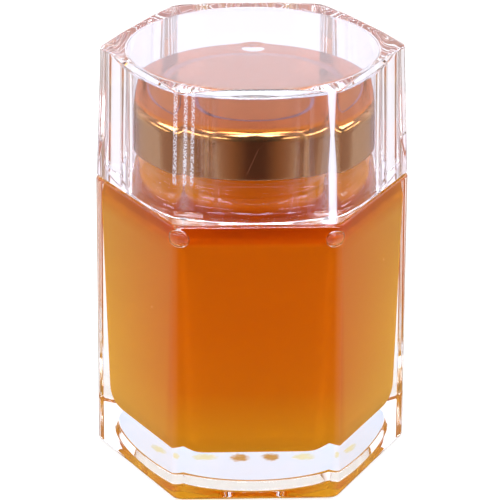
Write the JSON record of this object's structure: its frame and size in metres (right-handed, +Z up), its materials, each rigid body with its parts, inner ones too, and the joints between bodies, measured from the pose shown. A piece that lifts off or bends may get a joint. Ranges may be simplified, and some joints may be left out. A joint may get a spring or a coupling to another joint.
{
  "type": "honey jar",
  "caption": "Hexagonal clear glass jar filled with honey, with a metal screw lid under a clear six-sided outer cap.",
  "frame": {"origin": "centre of the jar's foot, on the surface it stands on", "axes": "+Z up along the jar's axis, -Y out of the flat side that faces the viewer, +X to the viewer's right"},
  "size_m": [0.0588, 0.0516, 0.0804],
  "materials": {
    "glass": "polished clear glass",
    "honey": "cloudy amber honey, slightly see-through",
    "lid": "satin gold lacquer on sheet metal",
    "cap": "polished clear plastic"
  },
  "bodies": {
    "root": {"jar_glass": "glass", "honey": "honey", "lid": "lid", "cap": "cap"}
  },
  "joints": []
}
